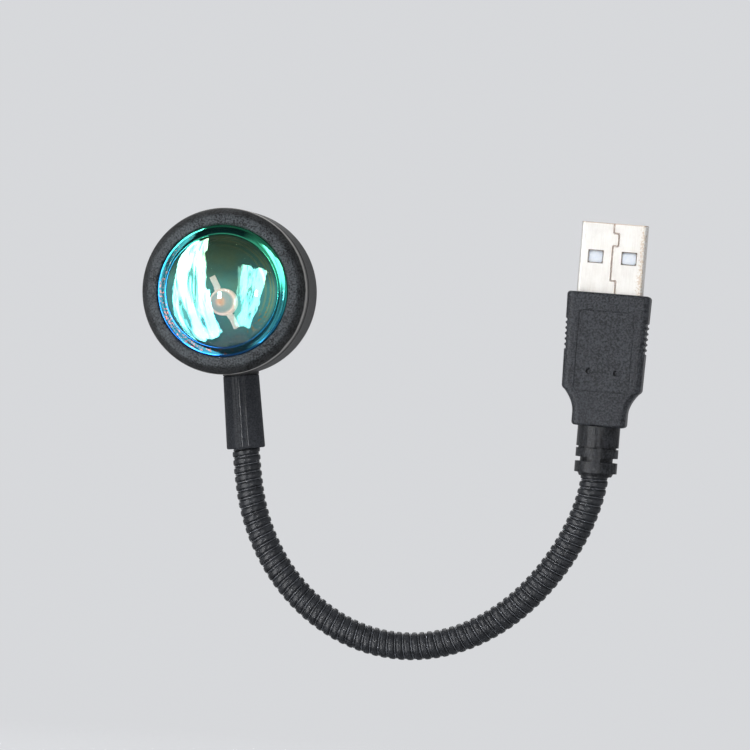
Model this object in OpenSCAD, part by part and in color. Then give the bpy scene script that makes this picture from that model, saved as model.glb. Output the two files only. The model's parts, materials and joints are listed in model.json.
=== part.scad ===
// Plug-in sunset lamp: a round head with a domed, coated glass lens, a short
// neck sleeve, a ribbed gooseneck hose bent in a U, a strain relief, a
// moulded plug body and a flat four-contact plug.
//
// Frame, in millimetres: the origin is where the plug's axis meets the front
// face of the moulded plug body. +Z runs along the plug, out of its mouth.
// The hose is bent in the plane Y = 0 and the lens looks along -Y.

/* [Plug] */
// outside width of the metal shell
shell_w = 12; // [11.9:0.05:12.1]
// outside height of the metal shell
shell_h = 4.5; // [4.4:0.05:4.6]
// sheet thickness of the shell
shell_wall = 0.3; // [0.25:0.05:0.4]
// corner radius of the shell
shell_r = 0.64; // [0.5:0.02:0.9]
// how far the shell stands out of the plug body
shell_out = 12.8; // [11.8:0.1:13.5]
// how deep the shell is held in the plug body
shell_in = 6; // [4:0.5:7]
// width of a latch window
window_w = 2.5; // [2:0.1:3]
// height of a latch window
window_h = 2.1; // [1.6:0.1:2.6]
// distance between the two windows' centres
window_pitch = 6.1; // [5:0.1:6.4]
// from the shell's mouth to the edge of a window
window_from_mouth = 5.16; // [4.8:0.02:5.6]
// width of the shell's rolled seam
seam_w = 0.1; // [0.06:0.02:0.2]
// thickness of the contact carrier
tongue_t = 1.84; // [1.7:0.02:2]
// how far the carrier lies back from the shell's mouth
tongue_back = 0.5; // [0.3:0.1:1]
// width of a contact
contact_w = 1; // [0.8:0.1:1.2]
// thickness of a contact
contact_t = 0.3; // [0.2:0.05:0.4]

/* [Plug body] */
// width at the front face
body_w = 15.2; // [14.5:0.1:17]
// width where the shoulders start
body_low_w = 14.5; // [13.5:0.1:16.5]
// thickness
body_t = 8; // [7:0.1:9]
// length of the wide part
body_wide_len = 17.5; // [14:0.5:22]
// length of the drawn-in shoulders
body_shoulder_len = 4.4; // [3:0.2:7]
// length of the narrow foot
body_foot_len = 2.4; // [1.5:0.1:4]
// width of the narrow foot
body_foot_w = 9.9; // [9:0.1:12]
// radius of the long edges
body_edge_r = 1.3; // [0.5:0.1:2]
// radius of the outline's corners
body_corner_r = 0.9; // [0.4:0.1:1.6]
// depth of the bare panel in the front
panel_depth = 0.2; // [0.1:0.05:0.4]
// width of the bare panel
panel_w = 10.2; // [6:0.1:10.6]
// length of the bare panel
panel_len = 14.8; // [10:0.2:16]
// number of grip grooves on each side
grip_count = 6; // [3:1:9]
// pitch of the grip grooves
grip_pitch = 1; // [0.8:0.05:1.4]
// radius of a grip groove
grip_r = 0.34; // [0.2:0.02:0.45]
// radius of a moulding dimple
dimple_r = 0.55; // [0.3:0.05:0.8]
// distance between the two dimples
dimple_pitch = 5; // [4:0.1:6]

/* [Strain relief] */
// radius of the relief's rings
relief_r = 3.9; // [3.5:0.1:4.6]
// radius of the core between the rings
relief_core_r = 3; // [2.8:0.05:3.3]
// length of the plain block
relief_block_len = 3.75; // [2:0.05:6]
// width of the thin groove after it
relief_groove = 0.35; // [0.2:0.05:0.6]
// length of the middle ring
relief_ring_len = 1.6; // [1:0.1:3]
// width of the side slots
relief_slot = 0.85; // [0.5:0.05:1.2]
// length of the last ring
relief_last_len = 1.95; // [1:0.05:3]
// length of the end collar
relief_collar_len = 0.65; // [0.4:0.05:1.5]
// width of the bridge between the slots
relief_bridge = 1.8; // [1:0.1:3]

/* [Hose] */
// radius over the ribs
hose_r = 2.57; // [2.3:0.01:2.8]
// radius in the valleys
hose_valley_r = 2.2; // [2:0.02:2.2]
// pitch of the ribs
rib_pitch = 1.525; // [1.5:0.005:1.7]
// ribs in one link
link_ribs = 4; // [4:2:6]
// width of a rib's crest
rib_crest = 0.64; // [0.5:0.02:0.66]
// width of a rib's foot
rib_foot = 1.12; // [0.9:0.02:1.2]
// radius of the bore for the two wires
hose_bore_r = 0.8; // [0.6:0.05:0.9]
// radius of the ball on each link
ball_r = 1.55; // [1.5:0.01:1.6]
// length of hose from the relief to the first bend
hose_lead = 1.5; // [1:0.1:6]
// length of hose from the last bend to the sleeve
hose_tail = 4; // [3:0.1:8]
// length of hose held in the relief
hose_in_relief = 6; // [4:0.5:7]
// length of hose held in the sleeve
hose_in_sleeve = 7.5; // [5:0.5:9]

/* [Neck sleeve] */
// radius at the hose
sleeve_r = 3.56; // [3.2:0.02:4]
// radius at the head
sleeve_top_r = 3.33; // [3.1:0.01:4]
// visible length
sleeve_len = 13.6; // [10:0.1:18]
// radius of the spigot in the head
spigot_r = 2.85; // [2.6:0.05:3]
// radius of the bore for the wires
sleeve_bore_r = 1.3; // [1.2:0.05:1.6]

/* [Head] */
// outside radius of the bezel and housing
head_r = 15.22; // [14.5:0.01:17]
// radius of the glass that shows
glass_r = 12.05; // [11:0.05:12.6]
// how far the bezel's lip stands in front of its outer edge
lip_out = 2.5; // [1.5:0.1:4]
// width of the bezel's flat inner ring
lip_w = 1.3; // [0.8:0.1:2]
// length of the bezel's side wall
bezel_side = 2; // [1.5:0.1:4]
// width of the groove behind the bezel
head_groove = 0.5; // [0.3:0.05:1]
// where the housing starts to round off
round_from = 11.6; // [7:0.1:13]
// depth of the housing's back face
head_depth = 18; // [15.4:0.1:20]
// radius of the flat back
back_r = 9.5; // [8:0.1:11]
// wall of the housing's back
back_wall = 1.6; // [1:0.1:2.4]
// how far the hose's plane lies behind the bezel's edge
hose_plane = 11.8; // [11.4:0.1:12.2]
// radius of the boss that takes the sleeve
boss_r = 3.6; // [3.4:0.05:4]

/* [Lens and light] */
// radius of the lens's flange
flange_r = 12.7; // [12.5:0.05:13]
// thickness of the flange
flange_t = 1.5; // [1:0.1:2]
// height of the glass's straight rim over its flange
rim_h = 1.2; // [0.6:0.1:1.3]
// height of the glass dome over its rim
dome_h = 3; // [2.5:0.1:6]
// thickness of the gasket behind the lens
gasket_t = 0.65; // [0.4:0.05:1]
// bore of the gasket and of the housing's front
cavity_r = 11.5; // [10.5:0.1:12]
// radius of the light's round board
board_r = 10.05; // [9:0.05:10.1]
// thickness of the board
board_t = 1.6; // [1:0.1:2]
// depth of the board's seat
board_seat = 9.5; // [8.8:0.1:9.8]
// width of the shelf that the board lies on
board_shelf = 1.35; // [0.8:0.05:2]
// radius of the light's body
led_r = 2.5; // [2.4:0.1:4.5]
// height of the light's body
led_t = 2; // [1.5:0.1:2.5]
// radius of the light's clear dome
led_dome_r = 2.1; // [1.9:0.1:3]
// sideways place of the light on its board
led_x = -1.45; // [-2:0.05:1.5]
// place of the light towards the sleeve
led_y = 1.75; // [-1.5:0.05:2]
// width of a lead
lead_w = 1.1; // [0.8:0.1:1.4]
// thickness of a lead
lead_t = 0.3; // [0.2:0.05:0.4]
// how far the leads reach from the light's middle
lead_reach = 5.3; // [5.2:0.1:7]
// direction of the leads
lead_angle = 68; // [0:1:180]

/* [Fits] */
// radial clearance of a piece in its seat
seat_gap = 0.05; // [0.03:0.01:0.08]
// gap between two faces that meet
face_gap = 0.03; // [0.02:0.01:0.05]
// clearance of a ball in the next link
ball_gap = 0.1; // [0.08:0.01:0.15]
// half the slot between two links
link_gap = 0.42; // [0.4:0.01:0.43]

/* [Hidden] */
$fn = 64;
// bend of each joint at rest, from the plug to the head, in degrees
bends = [13.1, 9.3, 7.5, 7.7, 8.6, 9.7, 11, 12.3, 13.1, 13, 12.2, 11.2,
         10.5, 10, 9.5, 9, 3.6];
joints = len(bends);
links = joints - 1;
// links cut in two by a sideways joint
split = [2, 5, 12, 15];
link_len = link_ribs * rib_pitch;
wire_r = 0.45;

body_len = body_wide_len + body_shoulder_len + body_foot_len;
relief_len = relief_block_len + relief_groove + relief_ring_len + relief_slot
    + relief_last_len + relief_collar_len;
mouth_z = -body_len - relief_len;
relief_in = 3;
relief_spigot_r = 3.25;

head_dist = sleeve_len + head_r + seat_gap * 2;
boss_end = head_r + seat_gap;
spigot_end = 11.2;
bezel_y = -hose_plane;

// direction of the hose after joint k, measured from -Z towards -X
function turn(k) = k == 0 ? 0 : turn(k - 1) + bends[k - 1];
function way(a) = [-sin(a), 0, -cos(a)];
// place of joint k, counted from 1
function at(k) = k == 1 ? [0, 0, mouth_z - hose_lead]
    : at(k - 1) + link_len * way(turn(k - 1));
end_turn = turn(joints);
mouth_head = at(joints) + hose_tail * way(end_turn);

// a rod between two points
module rod(p, q, r) {
    d = q - p;
    h = norm(d);
    translate(p) rotate([0, acos(d.z / h), atan2(d.y, d.x)])
        cylinder(h = h, r = r, $fn = 24);
}

// a wire through a list of points
module wire(pts, r) {
    for (i = [0 : len(pts) - 2]) rod(pts[i], pts[i + 1], r);
    for (i = [1 : len(pts) - 2]) translate(pts[i]) sphere(r = r * 1.06, $fn = 24);
}

// a rectangle with round corners
module rounded(w, h, r) {
    square([w - 2 * r, h], center = true);
    square([w, h - 2 * r], center = true);
    for (x = [-1, 1], y = [-1, 1])
        translate([x * (w / 2 - r), y * (h / 2 - r)]) circle(r = r, $fn = 32);
}

// ---- hose ----

// wall of the rib's flank at the slot between two links
flank_r = hose_valley_r + (hose_r - hose_valley_r)
    * (link_gap - rib_pitch / 2 + rib_foot / 2) / ((rib_foot - rib_crest) / 2);

// outer line of n ribs whose first crest lies half a pitch above z0
function rib_line(z0, n) = [for (i = [0 : n - 1], j = [0 : 3])
    let (c = z0 + (i + 0.5) * rib_pitch)
    [j == 0 || j == 3 ? hose_valley_r : hose_r,
     c + [-rib_foot, -rib_crest, rib_crest, rib_foot][j] / 2]];

// n ribs from joint to joint, open at both ends of the slot
module rib_body(n) {
    pts = rib_line(0, n);
    m = len(pts);
    rotate_extrude() polygon(concat(
        [[0, link_gap], [flank_r, link_gap]],
        [for (i = [1 : m - 2]) pts[i]],
        [[flank_r, n * rib_pitch - link_gap], [0, n * rib_pitch - link_gap]]));
}

module ball(z) {
    translate([0, 0, z - link_gap * 1.5])
        cylinder(h = link_gap * 1.5, r = ball_r * 0.68);
    translate([0, 0, z]) sphere(r = ball_r);
}

module socket_cut() {
    translate([0, 0, link_gap - 1])
        cylinder(h = 1 + ball_r + ball_gap * 2 - link_gap, r = ball_r + ball_gap);
}

module link(n) {
    difference() {
        union() {
            rib_body(n);
            ball(n * rib_pitch);
        }
        socket_cut();
        translate([0, 0, -1])
            cylinder(h = n * rib_pitch + ball_r + 2, r = hose_bore_r);
    }
}

module at_joint(k) {
    translate(at(k)) rotate([0, 180 + turn(k), 0]) children();
}

module whole_link(k) { at_joint(k) link(link_ribs); }
module first_half(k) { at_joint(k) link(link_ribs / 2); }
module last_half(k) {
    at_joint(k) translate([0, 0, link_len / 2]) link(link_ribs / 2);
}

hose_col = [0.07, 0.07, 0.08];
module hose_01() color(hose_col) whole_link(1);
module hose_02a() color(hose_col) first_half(2);
module hose_02b() color(hose_col) last_half(2);
module hose_03() color(hose_col) whole_link(3);
module hose_04() color(hose_col) whole_link(4);
module hose_05a() color(hose_col) first_half(5);
module hose_05b() color(hose_col) last_half(5);
module hose_06() color(hose_col) whole_link(6);
module hose_07() color(hose_col) whole_link(7);
module hose_08() color(hose_col) whole_link(8);
module hose_09() color(hose_col) whole_link(9);
module hose_10() color(hose_col) whole_link(10);
module hose_11() color(hose_col) whole_link(11);
module hose_12a() color(hose_col) first_half(12);
module hose_12b() color(hose_col) last_half(12);
module hose_13() color(hose_col) whole_link(13);
module hose_14() color(hose_col) whole_link(14);
module hose_15a() color(hose_col) first_half(15);
module hose_15b() color(hose_col) last_half(15);
module hose_16() color(hose_col) whole_link(16);

// the hose's end in the relief, up to the first joint
module hose_end_plug() color(hose_col) {
    len = hose_in_relief + hose_lead;
    n = floor(len / rib_pitch);
    pts = rib_line(len - n * rib_pitch, n);
    translate([0, 0, mouth_z + hose_in_relief]) rotate([0, 180, 0]) difference() {
        union() {
            rotate_extrude() polygon(concat(
                [[0, 0], [hose_valley_r, 0]],
                [for (i = [0 : len(pts) - 2]) pts[i]],
                [[flank_r, len - link_gap], [0, len - link_gap]]));
            ball(len);
        }
        translate([0, 0, -1]) cylinder(h = len + ball_r + 2, r = hose_bore_r);
    }
}

// the hose's end in the sleeve, from the last joint
module hose_end_head() color(hose_col) {
    len = hose_tail + hose_in_sleeve;
    n = floor(len / rib_pitch);
    pts = rib_line(0, n);
    at_joint(joints) difference() {
        rotate_extrude() polygon(concat(
            [[0, link_gap], [flank_r, link_gap]],
            [for (i = [1 : len(pts) - 1]) pts[i]],
            [[hose_valley_r, len], [0, len]]));
        socket_cut();
        translate([0, 0, -1]) cylinder(h = len + 2, r = hose_bore_r);
    }
}

// ---- plug ----

window_z = shell_out - window_from_mouth - window_h / 2;

// the dovetailed seam of the shell: a slit of two offsets
module seam() {
    a = -0.05;
    b = 0.95;
    zs = [shell_out - 1.8, shell_out - 4.1, shell_out - 10.45];
    low = -shell_in - 1;
    s = seam_w;
    translate([a - s / 2, zs[0]]) square([s, shell_out - zs[0] + 1]);
    translate([b - s / 2, zs[1] - s / 2]) square([s, zs[0] - zs[1] + s]);
    translate([a - s / 2, zs[2] - s / 2]) square([s, zs[1] - zs[2] + s]);
    translate([b - s / 2, low]) square([s, zs[2] - low + s / 2]);
    for (z = zs) translate([a - s / 2, z - s / 2]) square([b - a + s, s]);
}

module usb_shell() color([0.9, 0.89, 0.86]) difference() {
    translate([0, 0, -shell_in]) linear_extrude(shell_in + shell_out)
        difference() {
            rounded(shell_w, shell_h, shell_r);
            rounded(shell_w - 2 * shell_wall, shell_h - 2 * shell_wall,
                shell_r - shell_wall);
        }
    for (x = [-1, 1])
        translate([x * window_pitch / 2 - window_w / 2, -shell_h,
            window_z - window_h / 2])
            cube([window_w, 2 * shell_h, window_h]);
    translate([0, -shell_h / 2 + shell_wall + 0.1, 0]) rotate([90, 0, 0])
        linear_extrude(shell_wall + 0.2) seam();
}

tongue_front = -shell_h / 2 + shell_wall + face_gap;
tongue_top = tongue_front + tongue_t;
tongue_w = shell_w - 2 * shell_wall - 2 * seat_gap - 0.4;
contact_x = [-3.5, -1, 1, 3.5];
contact_sink = contact_t * 0.66;
tail_z = -shell_in - 2.4;

module usb_tongue() color([0.9, 0.92, 0.96]) difference() {
    translate([-tongue_w / 2, tongue_front, -shell_in])
        cube([tongue_w, tongue_t, shell_in + shell_out - tongue_back]);
    for (x = contact_x)
        translate([x - contact_w / 2 - face_gap, tongue_top - contact_sink - face_gap,
            -shell_in - 1])
            cube([contact_w + 2 * face_gap, 1, shell_in + shell_out]);
}

// contact i; the inner pair is shorter
module contact(i) color([0.83, 0.66, 0.3]) {
    top = shell_out - tongue_back - 0.7 - (i == 1 || i == 2 ? 1 : 0);
    translate([contact_x[i] - contact_w / 2, tongue_top - contact_sink, tail_z])
        cube([contact_w, contact_t, top - tail_z]);
}
module contact_1() contact(0);
module contact_2() contact(1);
module contact_3() contact(2);
module contact_4() contact(3);

core_len = 5;
core_w = 10.4;
core_h = shell_h - 1.1;

// moulded block that holds the contacts' tails and the wires' ends
module plug_core() color([0.85, 0.85, 0.83]) difference() {
    translate([-core_w / 2, -core_h / 2, -shell_in - core_len])
        cube([core_w, core_h, core_len - face_gap]);
    for (x = contact_x)
        translate([x - contact_w / 2 - face_gap, tongue_top - contact_sink - face_gap,
            tail_z - face_gap])
            cube([contact_w + 2 * face_gap, contact_t + 2 * face_gap, core_len]);
    for (x = [contact_x[0], contact_x[3]])
        translate([x, 0, -shell_in - core_len - 1])
            cylinder(h = core_len - 2.4 + 0.9, r = wire_r + seat_gap, $fn = 24);
}

// half of the plug body's outline, from the front face down
function body_half() = concat(
    [for (a = [90 : -22.5 : 0])
        [body_w / 2 - body_corner_r * (1 - cos(a)),
         -body_corner_r * (1 - sin(a))]],
    [[body_low_w / 2, -body_wide_len + 0.3],
     [body_low_w / 2 - 0.15, -body_wide_len]],
    [for (i = [1 : 8]) let (t = i / 8)
        [body_foot_w / 2 + (body_low_w / 2 - 0.15 - body_foot_w / 2)
            * pow(1 - t, 1.9), -body_wide_len - body_shoulder_len * t]],
    [for (a = [0 : 22.5 : 90])
        [body_foot_w / 2 - 0.1 - body_corner_r * (1 - cos(a)),
         -body_len + body_corner_r * (1 - sin(a))]]);

module body_outline() {
    h = body_half();
    n = len(h);
    polygon(concat(h, [for (i = [n - 1 : -1 : 0]) [-h[i].x, h[i].y]]));
}

grip_top = -5.3;
side_slope = (body_w - body_low_w) / 2 / body_wide_len;
dimple_z = -14.4;
channel_h = 2 * wire_r + 0.4;

module overmould() color([0.22, 0.23, 0.24]) difference() {
    intersection() {
        translate([0, body_t / 2, 0]) rotate([90, 0, 0])
            linear_extrude(body_t) body_outline();
        translate([0, 0, -body_len - 1]) linear_extrude(body_len + 2)
            rounded(body_w + 1, body_t, body_edge_r);
    }
    // the shell's pocket, the core's and the wires' channel
    translate([0, 0, -shell_in - face_gap]) linear_extrude(shell_in + 1)
        rounded(shell_w + 2 * seat_gap, shell_h + 2 * seat_gap, shell_r + seat_gap);
    translate([0, 0, -shell_in - core_len - face_gap])
        linear_extrude(core_len + 1)
        square([core_w + 2 * seat_gap, core_h + 2 * seat_gap], center = true);
    translate([-4.3, -channel_h / 2, -body_len + relief_in])
        cube([8.6, channel_h, body_len - relief_in - shell_in - core_len]);
    translate([0, 0, -body_len - 1])
        cylinder(h = relief_in + face_gap + 1, r = relief_spigot_r + seat_gap);
    // bare panel with its two dimples
    translate([0, -body_t / 2 + panel_depth, -3.2 - panel_len / 2])
        rotate([90, 0, 0]) linear_extrude(1) rounded(panel_w, panel_len, 0.8);
    for (x = [-1, 1])
        translate([x * dimple_pitch / 2, -body_t / 2 + panel_depth + 0.5, dimple_z])
            rotate([90, 0, 0]) cylinder(h = 1.5, r = dimple_r, $fn = 32);
    // grip grooves
    for (s = [-1, 1], i = [0 : grip_count - 1])
        translate([s * (body_w / 2 + side_slope * (grip_top - i * grip_pitch)),
            body_t / 2 + 1, grip_top - i * grip_pitch])
            rotate([90, 0, 0]) cylinder(h = body_t + 2, r = grip_r, $fn = 24);
}

relief_slot_z = -body_len - relief_block_len - relief_groove - relief_ring_len
    - relief_slot;

module strain_relief() color([0.2, 0.2, 0.22]) difference() {
    union() {
        translate([0, 0, -body_len - face_gap])
            cylinder(h = relief_in, r = relief_spigot_r);
        difference() {
            translate([0, 0, mouth_z + relief_collar_len])
                cylinder(h = relief_len - relief_collar_len - face_gap,
                    r = relief_r);
            // thin groove
            translate([0, 0, -body_len - relief_block_len - relief_groove])
                difference() {
                    cylinder(h = relief_groove, r = relief_r + 1);
                    translate([0, 0, -1])
                        cylinder(h = relief_groove + 2, r = relief_r - 0.4);
                }
            // side slots, with a bridge in front and behind
            translate([0, 0, relief_slot_z]) difference() {
                cylinder(h = relief_slot, r = relief_r + 1);
                translate([0, 0, -1])
                    cylinder(h = relief_slot + 2, r = relief_core_r);
                translate([-relief_bridge / 2, -10, -1])
                    cube([relief_bridge, 20, relief_slot + 2]);
            }
        }
        translate([0, 0, mouth_z])
            cylinder(h = relief_collar_len, r1 = hose_r + 0.4, r2 = relief_r - 0.6);
    }
    translate([0, 0, mouth_z - 1])
        cylinder(h = hose_in_relief + face_gap + 1, r = hose_r + seat_gap);
    translate([0, 0, mouth_z])
        cylinder(h = relief_len + relief_in + 1, r = 2 * wire_r + 0.7);
}

// the two wires from the contacts to the hose
module plug_wire(s) {
    wire([[s * 3.5, 0, -shell_in - 2.4 - 3 * face_gap],
          [s * 3.5, 0, -shell_in - core_len - 1],
          [s * (wire_r + 0.25), 0, -body_len + relief_in + 1.6],
          [s * (wire_r + 0.25), 0, mouth_z + hose_in_relief + 0.3]], wire_r);
}
module wire_red_plug() color([0.75, 0.08, 0.06]) plug_wire(-1);
module wire_black_plug() color([0.08, 0.08, 0.08]) plug_wire(1);

// ---- head ----

// local frame: +Z from the sleeve's mouth to the head's middle
module in_head() {
    translate(mouth_head) rotate([0, 180 + end_turn, 0]) children();
}

// lathe frame: +Z is depth behind the bezel's outer edge, +Y is to the sleeve
module lathe() {
    in_head() translate([0, bezel_y, head_dist]) rotate([-90, 0, 0]) children();
}

seat_front = -lip_out + 1.3;
flange_back = seat_front + face_gap + flange_t;
gasket_front = flange_back + face_gap;
house_front = gasket_front + gasket_t + face_gap;
house_lip_r = 13.35;
side_start = bezel_side + head_groove;

module bezel() color([0.17, 0.17, 0.18]) lathe() rotate_extrude($fn = 96)
    polygon([
        [glass_r, seat_front], [glass_r, -lip_out + 0.3],
        [glass_r + 0.1, -lip_out + 0.08], [glass_r + 0.3, -lip_out],
        [glass_r + 0.3 + lip_w, -lip_out + 0.2],
        [glass_r + 0.6 + lip_w, -lip_out + 0.45],
        [head_r - 0.35, -0.85], [head_r - 0.1, -0.4], [head_r, 0],
        [head_r, bezel_side - 0.15], [head_r - 0.15, bezel_side],
        [house_lip_r, bezel_side], [house_lip_r, house_front - face_gap],
        [flange_r + seat_gap, house_front - face_gap],
        [flange_r + seat_gap, seat_front]]);

// the glass: a dome on a straight rim and a flat flange
rim_front = seat_front + face_gap - rim_h;
dome_foot_r = glass_r - seat_gap;
dome_rad = (dome_foot_r * dome_foot_r + dome_h * dome_h) / (2 * dome_h);
module lens() color([0.35, 0.8, 0.75, 0.5]) lathe() union() {
    translate([0, 0, seat_front + face_gap])
        cylinder(h = flange_t, r = flange_r, $fn = 96);
    intersection() {
        translate([0, 0, rim_front - dome_h + dome_rad])
            sphere(r = dome_rad, $fn = 96);
        translate([0, 0, rim_front - dome_h - 1])
            cylinder(h = dome_h + rim_h + 1 + flange_t / 2, r = dome_foot_r, $fn = 96);
    }
}

module lens_gasket() color([0.1, 0.1, 0.1]) lathe()
    translate([0, 0, gasket_front]) difference() {
        cylinder(h = gasket_t, r = flange_r - 0.1, $fn = 96);
        translate([0, 0, -1]) cylinder(h = gasket_t + 2, r = cavity_r, $fn = 96);
    }

pocket_r = board_r + 0.1;
shelf_r = pocket_r - board_shelf;
pocket_top = board_seat - board_t - 0.2;

module housing() color([0.15, 0.15, 0.16]) lathe() difference() {
    union() {
        rotate_extrude($fn = 96) polygon(concat(
            [[0, house_front], [house_lip_r - seat_gap, house_front],
             [house_lip_r - seat_gap, side_start],
             [head_r - 0.15, side_start], [head_r, side_start + 0.15]],
            [for (i = [0 : 8]) let (a = i * 90 / 8)
                [back_r + (head_r - back_r) * cos(a),
                 round_from + (head_depth - round_from) * sin(a)]],
            [[0, head_depth]]));
        // boss for the sleeve
        translate([0, 0, hose_plane]) rotate([-90, 0, 0])
            cylinder(h = boss_end, r = boss_r);
    }
    rotate_extrude($fn = 96) polygon([
        [0, house_front - 1], [cavity_r, house_front - 1],
        [cavity_r, pocket_top], [pocket_r, pocket_top],
        [pocket_r, board_seat], [shelf_r, board_seat],
        [shelf_r, head_depth - back_wall], [0, head_depth - back_wall]]);
    // seat of the sleeve's spigot, and the wires' hole
    translate([0, spigot_end, hose_plane]) rotate([-90, 0, 0])
        cylinder(h = boss_end, r = spigot_r + seat_gap);
    translate([0, 0, hose_plane]) rotate([-90, 0, 0])
        cylinder(h = boss_end, r = sleeve_bore_r);
}

module neck_sleeve() color([0.2, 0.2, 0.22]) in_head() difference() {
    union() {
        cylinder(h = sleeve_len, r1 = sleeve_r, r2 = sleeve_top_r);
        cylinder(h = head_dist - spigot_end - seat_gap, r = spigot_r);
    }
    translate([0, 0, -1])
        cylinder(h = hose_in_sleeve + face_gap + 1, r = hose_r + seat_gap);
    translate([0, 0, -1]) cylinder(h = head_dist, r = sleeve_bore_r);
}

module star_board() color([0.8, 0.82, 0.84]) lathe()
    translate([0, 0, board_seat - face_gap - board_t])
        cylinder(h = board_t, r = board_r, $fn = 96);

led_z = board_seat - 2 * face_gap - board_t - led_t;
module at_led() { lathe() translate([led_x, led_y, led_z]) children(); }

module led_body() color([0.9, 0.9, 0.86]) at_led() difference() {
    cylinder(h = led_t, r = led_r);
    for (a = [0, 180]) rotate([0, 0, lead_angle + a])
        translate([led_r - 1, -lead_w / 2 - face_gap, led_t - 1.3 - face_gap])
            cube([3, lead_w + 2 * face_gap, lead_t + 2 * face_gap]);
}

module led_dome() color([0.95, 0.9, 0.75, 0.6]) at_led() {
    dome_side = 0.6;
    translate([0, 0, -face_gap - dome_side])
        cylinder(h = dome_side, r = led_dome_r);
    difference() {
        translate([0, 0, -face_gap - dome_side]) sphere(r = led_dome_r);
        translate([0, 0, -face_gap - dome_side / 2])
            cylinder(h = 2 * led_dome_r, r = 2 * led_dome_r);
    }
}

module lead(a) color([0.75, 0.72, 0.68]) at_led() rotate([0, 0, lead_angle + a]) {
    z = led_t - 1.3;
    translate([led_r - 0.9, -lead_w / 2, z])
        cube([1.5, lead_w, lead_t]);
    translate([led_r + 0.3, -lead_w / 2, z])
        cube([lead_t, lead_w, 1.3 - face_gap]);
    translate([led_r + 0.3, -lead_w / 2, led_t - face_gap - lead_t])
        cube([lead_reach - led_r - 0.3, lead_w, lead_t]);
}
module lead_a() lead(0);
module lead_b() lead(180);

// the two wires from the hose to the back of the board
wire_turn = 7.6;
wire_end = 5;
wire_spread = 2.6;
module head_wire(s) {
    y = bezel_y + board_seat + face_gap;
    in_head() wire([
        [s * (wire_r + 0.15), 0, hose_in_sleeve + 0.3],
        [s * (wire_r + 0.15), 0, head_dist - wire_turn],
        [s * wire_spread, y + 3 * wire_r, head_dist - wire_end],
        [s * wire_spread, y, head_dist - wire_end]], wire_r);
}
module wire_red_head() color([0.75, 0.08, 0.06]) head_wire(-1);
module wire_black_head() color([0.08, 0.08, 0.08]) head_wire(1);

usb_shell();
usb_tongue();
contact_1();
contact_2();
contact_3();
contact_4();
plug_core();
overmould();
strain_relief();
wire_red_plug();
wire_black_plug();
hose_end_plug();
hose_01();
hose_02a();
hose_02b();
hose_03();
hose_04();
hose_05a();
hose_05b();
hose_06();
hose_07();
hose_08();
hose_09();
hose_10();
hose_11();
hose_12a();
hose_12b();
hose_13();
hose_14();
hose_15a();
hose_15b();
hose_16();
hose_end_head();
neck_sleeve();
housing();
bezel();
lens();
lens_gasket();
star_board();
led_body();
led_dome();
lead_a();
lead_b();
wire_red_head();
wire_black_head();
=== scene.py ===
# %% [markdown]
# # A plug-in sunset lamp
# The lamp is a round head with a coated glass lens, a short neck sleeve, a
# ribbed gooseneck hose bent in a U, and a flat plug in a moulded body. The
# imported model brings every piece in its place. This lesson gives each piece
# its visible shape and its finish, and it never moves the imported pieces.

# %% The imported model
import json
import math

import bmesh
import bpy
from mathutils import Matrix, Vector

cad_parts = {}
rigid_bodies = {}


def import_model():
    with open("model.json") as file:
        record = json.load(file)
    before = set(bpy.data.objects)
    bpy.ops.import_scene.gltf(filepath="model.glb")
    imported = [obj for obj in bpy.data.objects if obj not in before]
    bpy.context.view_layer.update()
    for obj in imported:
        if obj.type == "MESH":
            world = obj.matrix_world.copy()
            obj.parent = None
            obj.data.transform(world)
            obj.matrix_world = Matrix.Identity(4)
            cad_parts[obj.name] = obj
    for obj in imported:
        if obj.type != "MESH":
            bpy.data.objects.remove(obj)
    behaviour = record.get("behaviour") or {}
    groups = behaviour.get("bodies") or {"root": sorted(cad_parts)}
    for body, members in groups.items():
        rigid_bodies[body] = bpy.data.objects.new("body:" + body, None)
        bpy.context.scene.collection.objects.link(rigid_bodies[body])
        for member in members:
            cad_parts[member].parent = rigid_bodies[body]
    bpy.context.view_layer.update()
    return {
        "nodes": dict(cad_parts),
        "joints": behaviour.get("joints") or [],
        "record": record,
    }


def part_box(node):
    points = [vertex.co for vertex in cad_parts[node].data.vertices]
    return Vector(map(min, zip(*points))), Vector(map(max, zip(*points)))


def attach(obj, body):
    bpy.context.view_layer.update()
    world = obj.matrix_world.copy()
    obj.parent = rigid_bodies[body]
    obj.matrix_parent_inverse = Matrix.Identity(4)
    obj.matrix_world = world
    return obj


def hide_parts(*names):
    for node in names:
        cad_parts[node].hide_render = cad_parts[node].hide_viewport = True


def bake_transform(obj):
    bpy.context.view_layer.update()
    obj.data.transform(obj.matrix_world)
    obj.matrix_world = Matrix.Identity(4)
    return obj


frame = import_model()
nodes = frame["nodes"]
MM = 0.001

# %% [markdown]
# The lamp has to be seen from the photograph's side: a long lens, a little
# from the right, with the camera rolled so that the plug leans. The place that
# the middle of the picture shows, the distance and the roll were worked out
# from the plug's known width and the head's place.

# %% Camera
def toward(azimuth, elevation):
    """Direction from the lamp to a place round it, as on a compass."""
    a, e = math.radians(azimuth), math.radians(elevation)
    return Vector((math.sin(a) * math.cos(e), -math.cos(a) * math.cos(e), math.sin(e)))


AIM = Vector((-42.0, 0, -18.36)) * MM
VIEW_AZIMUTH, VIEW_ELEVATION, VIEW_DISTANCE, VIEW_ROLL = 7.5, 0.6, 0.650, 4.7
VIEW_LENS = 169.1

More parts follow.
